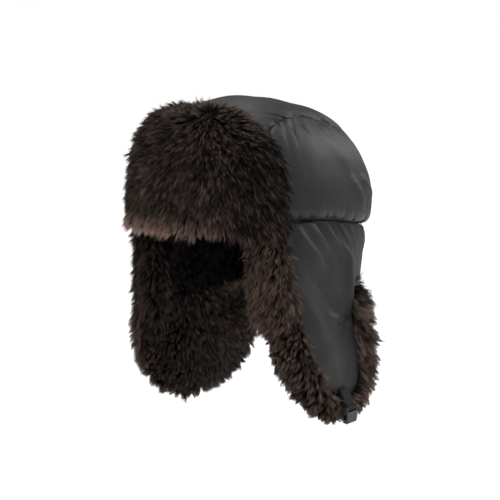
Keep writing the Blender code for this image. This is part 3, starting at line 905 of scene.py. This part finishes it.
def strand_mesh(name, roots, ways, bends, lengths, widths, tones):
    """Closed three-sided spikes. Each starts along its way and turns towards its bend."""
    count = len(roots)
    rings = len(STRAND_RINGS)
    points = np.empty((count, rings * 3 + 1, 3))
    along = np.empty((count, rings * 3 + 1))
    side = unit(np.cross(ways, bends + 0.01))
    other = unit(np.cross(ways, side))
    for ring, (share, width) in enumerate(zip(STRAND_RINGS, STRAND_WIDTHS)):
        centre = roots + lengths[:, None] * (ways * share + bends * share**2)
        for corner in range(3):
            turn = corner * 2 * math.pi / 3 + ring * 0.4
            out = side * math.cos(turn) + other * math.sin(turn)
            points[:, ring * 3 + corner] = centre + out * (widths * width)[:, None]
            along[:, ring * 3 + corner] = share
    points[:, -1] = roots + lengths[:, None] * (ways + bends)
    along[:, -1] = 1
    faces = [(2, 1, 0)]
    for ring in range(rings - 1):
        for corner in range(3):
            a, b = ring * 3 + corner, ring * 3 + (corner + 1) % 3
            faces += [(a, b, b + 3), (a, b + 3, a + 3)]
    last = (rings - 1) * 3
    faces += [(last + corner, last + (corner + 1) % 3, last + 3) for corner in range(3)]
    start = np.arange(count)[:, None, None] * (rings * 3 + 1)
    mesh = mesh_from(name, points.reshape(-1, 3), (np.array(faces)[None] + start).reshape(-1, 3))
    set_values(mesh, "along", along)
    set_values(mesh, "tone", np.repeat(tones, rings * 3 + 1))
    return mesh


def grow(name, body, roots, normals, comb, length, seed, lean=0.8, tuft=0.0044, material=FUR, parts=1,
         painted_light=0.0):
    """Pile from these roots. comb is the way it is brushed, lean how flat it lies, tuft how far apart its
    tufts stand and the last, painted light and shade, how much lighter the strands are painted where light
    falls, or darker, below 0, where shade falls."""
    rng = np.random.default_rng(seed)
    count = len(roots)
    comb = unit(comb - normals * (comb * normals).sum(1, keepdims=True))
    swirl = unit(np.cross(normals, comb))
    brushed = comb * lean * 0.75
    drift = noise(roots, 0.018, seed + 1)[:, None] * 0.45 + noise(roots, 0.007, seed + 2)[:, None] * 0.25
    ways = unit(normals + brushed + swirl * drift * 0.6 + rng.normal(0, 0.13, (count, 3)))
    bends = brushed + swirl * drift * 0.7 + DROOP + rng.normal(0, 0.08, (count, 3))
    lengths = length * rng.uniform(0.62, 1.0, count) * (1 + 0.22 * noise(roots, 0.009, seed + 3))

    # each tuft has a strand at its centre, which the others lean towards
    centres = rng.permutation(count)[: max(int(count * (0.0016 / tuft) ** 2), 8)]
    owner = nearest(roots, roots[centres])
    guard = rng.random(count) < GUARD_SHARE
    lengths = lengths * rng.uniform(0.78, 1.12, len(centres))[owner] * np.where(guard, GUARD_LENGTH, 1.0)
    tips = roots + lengths[:, None] * (ways + bends)
    tips[centres] += lengths[centres][:, None] * rng.normal(0, 0.20, (len(centres), 3))
    pull = GATHER * rng.uniform(0.45, 1.0, count)[:, None]
    target = tips[centres][owner] + (roots - roots[centres][owner]) * 0.15
    bends = bends + (target - tips) / lengths[:, None] * pull

    tuft_tone = rng.random(len(centres))[owner]
    # painted light and shade: the last argument raises or lowers the tone, on top of each tuft's own tone
    tones = 0.60 * tuft_tone**2 + 0.25 * rng.random(count) + 0.20 * noise(roots, 0.02, seed + 4) + painted_light
    tones = np.maximum(tones + GUARD_TONE * guard, 0)
    widths = STRAND_WIDTH * rng.uniform(0.7, 1.15, count)
    order = np.argsort(roots[:, 0] + 0.35 * roots[:, 1], kind="stable")
    for part, chosen in enumerate(np.array_split(order, parts)):
        label = f"{name}_{part + 1}" if parts > 1 else name
        strands = pick(chosen, roots, ways, bends, lengths, widths, tones)
        piece = link(label, strand_mesh(label, *strands), material)
        ride_or_bend(piece, body)


def bed_piece(bed, body, node):
    ride_or_bend(bed, body)
    if node:
        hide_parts(node)


def make_visor_fur():
    rng = np.random.default_rng(101)
    bed = smooth_bed("visor_fur", "visor_fur_base", 0.0045)
    points, _ = vertex_arrays(bed.data)
    x = points[:, 0]
    points[:, 0] = np.where(x < -0.050, -0.050 + (x + 0.050) * 0.84, x)  # the right end is narrower
    move_vertices(bed.data, points)
    roots, normals = scatter(bed.data, 62000, rng)
    # the middle of the crown lies behind the pad's back face, where no pile grows
    facing_back = (normals * unit(roots - (0, -0.02, 0.0))).sum(1) < -0.25
    keep = ~(facing_back & (roots[:, 2] < 0.088))
    roots, normals = roots[keep], normals[keep]
    whorl = np.array((0.020, -0.108, 0.088))
    comb = roots - whorl
    far = np.linalg.norm(comb, axis=1)
    comb = unit(comb) * ease(0.0, 0.05, far)[:, None] + np.array((0, 0, -0.25))
    length = 0.0125 * (0.86 + 0.25 * ease(0.02, 0.12, far))
    length = length * (1 - 0.25 * ease(0.0, -0.09, roots[:, 0]))
    # painted light along the lower edge, strongest towards the wearer's right, and painted shade above it
    # and at the left end
    low = ease(0.022, -0.010, roots[:, 2])
    painted_light = low * between(0.0, 2.6, ease(0.07, -0.03, roots[:, 0])) - 0.10 * (1 - low)
    painted_light -= 0.22 * ease(0.040, 0.075, roots[:, 0])
    grow("visor_pile", "visor", roots, normals, comb, length, 111, parts=5, painted_light=painted_light)
    bed_piece(bed, "visor", "visor_fur")


def shape_flap_bed(points, side):
    """Raise a flap's bed into the fold and its rear edge, and make the right flap's lower part wider."""
    x, y, z = points.T  # views, so that changing them moves the points
    inside = np.maximum(HALF_WIDTH - SKIRT_INSET + 0.0012 - np.abs(x), 0)
    z += ease(FOLD_Z - 0.040, FOLD_Z - 0.004, z + inside * MITRE) * (inside * MITRE + 0.007)
    rear = ease(0.012, 0.050, y) * ease(FOLD_Z - 0.085, FOLD_Z - 0.030, z)
    inward = ease(0.088, 0.070, np.abs(x))
    x -= side * 0.009 * rear * inward
    y += 0.004 * rear * inward
    top = ease(FOLD_Z - 0.030, FOLD_Z - 0.008, z) * ease(0.015, 0.050, y)
    z += 0.007 * top
    x += side * 0.003 * top
    if side < 0:
        low = ease(FOLD_Z - 0.020, FOLD_Z - 0.080, z)
        y += low * 0.10 * (y - FLAP_CENTRE_Y - FLAP_LEAN * 0.5) + 0.003 * low
        y += 0.004 * ease(0.0, 0.04, y) * ease(FOLD_Z + 0.01, FOLD_Z - 0.02, z)


def open_flap_roots(roots, normals, side):
    """The roots that neither nylon nor fold covers, and how far behind the flap's centre line they are."""
    y, z = roots[:, 1], roots[:, 2]
    down = np.clip((FOLD_Z - z) / FLAP_DROP, 0, 1)
    half = FLAP_HALF_LENGTH * np.clip(1 - (down * FLAP_TIP) ** 3.2, 0, 1) ** 0.6
    offset = y - (FLAP_CENTRE_Y + FLAP_LEAN * down**1.3)
    under_nylon = (side * normals[:, 0] > 0.25) & (np.abs(offset) < half - 0.001) & (z > FOLD_Z - FLAP_DROP)
    at_root = (normals[:, 2] > 0.6) & (np.abs(roots[:, 0]) < 0.082) & (np.abs(y + 0.01) < 0.055)
    keep = ~(under_nylon | at_root)
    return roots[keep], normals[keep], offset[keep]


def make_flap_fur(side, hand):
    node = f"ear_flap_{hand}_fur"
    bed = smooth_bed(node, f"{node}_base", 0.0035)
    points, _ = vertex_arrays(bed.data)
    shape_flap_bed(points, side)
    move_vertices(bed.data, points)
    rng = np.random.default_rng(201 if side > 0 else 202)
    roots, normals, offset = open_flap_roots(*scatter(bed.data, 38000, rng), side)
    outwards = side * normals[:, 0]
    across = np.clip(offset / 0.045, -1.3, 1.3)
    comb = np.stack([np.full_like(offset, side * 0.15), across, np.full_like(offset, -0.85)], 1)
    inner = outwards < -0.45
    length = np.where(inner, 0.0100, 0.0145 if side > 0 else 0.0148)
    if side > 0:
        length = length + 0.003 * ease(0.02, 0.05, offset)
        length = length * (1 - 0.30 * ease(0.1, 0.5, outwards) * ease(0.0, -0.02, offset))
    seed = 211 if side > 0 else 231
    # the pile that faces the head takes the darker fur copy, painted shade, and the outer pile is painted a
    # little lighter
    looks = (("inside", inner, 0.0050, FUR_PAINTED_SHADE, 0.05), ("edge", ~inner, 0.0060, FUR, 0.2))
    for label, chosen, tuft, material, painted_light in looks:
        pile = pick(chosen, roots, normals, comb, length)
        grow(f"ear_flap_{hand}_pile_{label}", f"{hand}_flap", *pile, seed, 0.8, tuft, material, 2, painted_light)
        seed += 7
    bed_piece(bed, f"{hand}_flap", node)


def pick(chosen, *arrays):
    return [values[chosen] for values in arrays]


def ride_or_bend(piece, body):
    """Pieces on an ear flap have their placing baked into their points and ride on no body; the others ride
    on one body.
    """
    if not body.endswith("_flap"):
        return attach(piece, body)
    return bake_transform(piece)


def make_skirt_fur():
    rng = np.random.default_rng(301)
    bed = smooth_bed("skirt_fur_lining", "skirt_fur_base", 0.0030, 0.0030)
    roots, normals = scatter(bed.data, 44000, rng)
    outwards = (normals * unit(roots * (1, 1, 0))).sum(1)
    front = roots[:, 1] < -0.058
    low = roots[:, 2] < -0.082
    keep = (outwards < 0.30) & ((normals[:, 2] < 0.55) | front) | (low & (normals[:, 2] < 0.5))
    roots, normals = roots[keep], normals[keep]
    front = ease(-0.045, -0.075, roots[:, 1])[:, None]
    comb = np.array((0.0, 0.0, -1.0)) + front * np.array((0.0, -0.9, 0.0))
    length = 0.0100 + 0.0025 * front[:, 0]
    neck = (roots[:, 2] < -0.068) & (roots[:, 1] > 0.030)
    above = pick(~neck, roots, normals, comb, length)
    # the pile inside the skirt takes the darkest fur copy, painted shade
    grow("skirt_pile", "crown", *above, 311, tuft=0.0055, material=FUR_PAINTED_DEEP_SHADE, parts=4)
    # the pile that shows below the nape is three times as dense
    thick = np.repeat(np.flatnonzero(neck), 3)
    roots, normals, comb, length = pick(thick, roots, normals, comb, length + 0.004)
    roots = roots + rng.normal(0, 0.0008, roots.shape)
    # painted light: the pile below the nape is painted lighter, where it lies in shade
    grow("skirt_pile_neck", "crown", roots, normals, comb, length, 317, lean=0.5, painted_light=0.5)
    bed_piece(bed, "crown", "skirt_fur_lining")


def tube(name, centres, radii, flat, around=24):
    """A closed roll along these centres, thinner by flat across the skirt's thickness."""
    way = unit(np.gradient(centres, axis=0))
    out = unit(centres * (1, 1, 0))
    out = unit(out - way * (out * way).sum(1, keepdims=True))
    along = np.cross(way, out)
    turn = np.linspace(0, 2 * math.pi, around, endpoint=False)
    ring = out[:, None] * (np.cos(turn) * flat)[None, :, None] + along[:, None] * np.sin(turn)[None, :, None]
    points = centres[:, None] + ring * radii[:, None, None]
    rows = len(centres)
    index = np.arange(rows * around).reshape(rows, around)
    after = np.roll(index, -1, axis=1)
    faces = np.stack([index[:-1], after[:-1], after[1:], index[1:]], -1).reshape(-1, 4).tolist()
    first, last = index[0].tolist(), index[-1].tolist()
    faces += [(first[0], first[k + 1], first[k]) for k in range(1, around - 1)]
    faces += [(last[0], last[k], last[k + 1]) for k in range(1, around - 1)]
    mesh = bpy.data.meshes.new(name)
    mesh.from_pydata(points.reshape(-1, 3).tolist(), [], faces)
    mesh.shade_smooth()
    return mesh


def make_edge_roll(side, hand):
    """The fur that rolls out over the skirt's front edge, from under the visor to the ear flap."""
    share = np.linspace(0, 1, 40)
    # the near, left roll is painted a little lighter, and the far, right one takes the darker fur copy,
    # painted shade
    if side > 0:
        size, draw_in, overlap, material, painted_light = 1.0, 0.0, 0.012, FUR, 0.2
        round_end = np.sqrt(np.clip(1 - (2 * share - 1) ** 6, 0.02, 1))
    else:
        size, draw_in, overlap, material, painted_light = 0.85, 0.0045, 0.034, FUR_PAINTED_SHADE, 0.0
        round_end = np.sqrt(np.clip(share * 8, 0.02, 1)) * ease(1.05, 0.55, share)
    x = between(0.0725, 0.0770, share) - draw_in
    y = between(-0.0850, -0.0740, share**1.5) + draw_in
    centres = np.stack([x, y, between(-0.004, FOLD_Z - overlap, share)], 1)
    radii = between(0.0110, 0.0150, ease(0.1, 0.8, share)) * round_end * size
    mesh = tube(f"skirt_{hand}_edge_base", centres, radii, 0.80)
    points, normals = vertex_arrays(mesh)
    if (normals * (points - centres.mean(0))).sum() < 0:
        mesh.flip_normals()
    if side < 0:
        mesh.transform(Matrix.Scale(-1, 4, (1, 0, 0)))
        mesh.flip_normals()
    bed = link(f"skirt_{hand}_edge_base", mesh, FUR_BASE)
    roots, normals = scatter(mesh, 9000, np.random.default_rng(401 + side))
    comb = np.stack([0.3 * normals[:, 0], -0.55 + 0.9 * normals[:, 1], np.full(len(roots), -0.8)], 1)
    length = np.full(len(roots), 0.0125)
    name = f"skirt_{hand}_edge_pile"
    grow(name, f"{hand}_flap", roots, normals, comb, length, 411 + side, material=material, painted_light=painted_light)
    bed_piece(bed, f"{hand}_flap", None)


# ---- pieces carried over from the frame


def finish_carried_over():
    for name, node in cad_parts.items():
        for key, material in CARRIED_OVER.items():
            if key in name:
                for slot in node.material_slots:
                    slot.material = material


# ---- camera, floor and lights


def make_camera():
    turned, raised = math.radians(VIEW_AZIMUTH), math.radians(VIEW_ELEVATION)
    level = math.cos(raised)
    back = Vector((math.sin(turned) * level, -math.cos(turned) * level, math.sin(raised)))
    right = Vector((math.cos(turned), math.sin(turned), 0))
    up = back.cross(right)
    data = bpy.data.cameras.new("camera")
    data.sensor_width = SENSOR
    data.lens = SENSOR * VIEW_DISTANCE / VIEW_WIDTH
    camera = add_object("camera", data)
    target = right * VIEW_RIGHT + up * VIEW_UP
    turn = Matrix((right, up, back)).transposed().to_4x4()
    camera.matrix_world = Matrix.Translation(target + back * VIEW_DISTANCE) @ turn
    bpy.context.scene.camera = camera


def area_light(name, place, size, power):
    data = bpy.data.lights.new(name, "AREA")
    data.shape = "DISK"
    data.size = size
    data.energy = power
    made = add_object(name, data)
    made.location = place
    made.rotation_mode = "QUATERNION"
    made.rotation_quaternion = (Vector(LIGHT_AIM) - Vector(place)).to_track_quat("-Z", "Y")


def make_studio():
    corners = np.array([(-1, -1, 0), (1, -1, 0), (1, 1, 0), (-1, 1, 0)]) * FLOOR_HALF_SIZE + (0, 0, FLOOR_Z)
    mesh = mesh_from("floor", corners, np.array([(0, 1, 2, 3)]))
    shader = Shader("floor", IOR=1.4)
    colour = shader.ramp(shader.noise(3.0), (0.3, grey(0.90)), (0.7, grey(0.93)))
    seen = shader.add("LightPath").outputs["Is Camera Ray"]
    shader.principled.inputs["Emission Color"].default_value = (1, 1, 1, 1)
    shader.put(shader.principled.inputs["Emission Strength"], shader.math("MULTIPLY", seen, FLOOR_GLOW))
    floor = link("floor", mesh, shader.finish(colour, 0.85))
    world = bpy.data.worlds.new("studio")
    world.use_nodes = True
    nodes, links = world.node_tree.nodes, world.node_tree.links
    seen = nodes.new("ShaderNodeLightPath").outputs["Is Camera Ray"]
    strength = nodes.new("ShaderNodeMath")
    strength.operation = "MULTIPLY_ADD"
    links.new(seen, strength.inputs[0])
    strength.inputs[1].default_value = 1.0 - STUDIO_LIGHT
    strength.inputs[2].default_value = STUDIO_LIGHT
    nodes["Background"].inputs["Color"].default_value = (1.0, 1.0, 1.0, 1)
    links.new(strength.outputs[0], nodes["Background"].inputs["Strength"])
    bpy.context.scene.world = world
    bpy.context.scene.view_settings.view_transform = "Standard"
    area_light("key", (0.35, -1.2, 1.9), 0.6, 42)
    area_light("top", (-0.5, 0.4, 2.1), 0.5, 24)
    area_light("side", (2.0, -0.4, 0.5), 0.9, 7)
    area_light("rim", (0.8, 1.6, 1.0), 0.7, 18)


make_camera()
make_studio()
make_crown()
make_forehead_band()
for SIDE, HAND in HANDS:
    make_skirt_and_flap(SIDE, HAND)
    make_flap_fur(SIDE, HAND)
    make_edge_roll(SIDE, HAND)
make_visor_panel()
make_visor_fur()
make_skirt_fur()
finish_carried_over()
